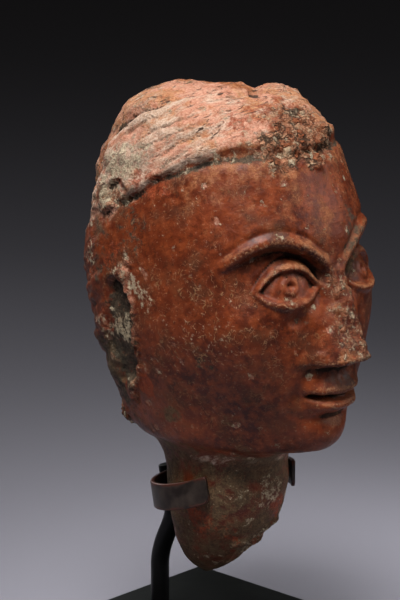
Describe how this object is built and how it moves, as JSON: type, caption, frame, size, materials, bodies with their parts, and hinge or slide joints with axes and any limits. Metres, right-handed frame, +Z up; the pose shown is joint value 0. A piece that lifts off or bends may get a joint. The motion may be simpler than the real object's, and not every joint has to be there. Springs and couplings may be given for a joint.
{
  "type": "terracotta head on stand",
  "caption": "Ancient terracotta head, broken off at the neck and held by a metal strip cradle on a rod rising from a square black block.",
  "frame": {"origin": "centre of the block's underside, on the surface that the stand rests on", "axes": "+Z up, -Y the way the face looks, +X towards the head's left"},
  "size_m": [0.11, 0.138, 0.2577],
  "materials": {
    "terracotta": "worn red slip over pink fired clay, half matt, with pale deposits",
    "cradle_metal": "dark brown lacquer, satin",
    "rod_paint": "black paint, satin",
    "block_paint": "black paint, nearly matt"
  },
  "bodies": {
    "root": {"terracotta_head": "terracotta", "neck_cradle": "cradle_metal", "support_rod": "rod_paint", "base_block": "block_paint"}
  },
  "joints": []
}
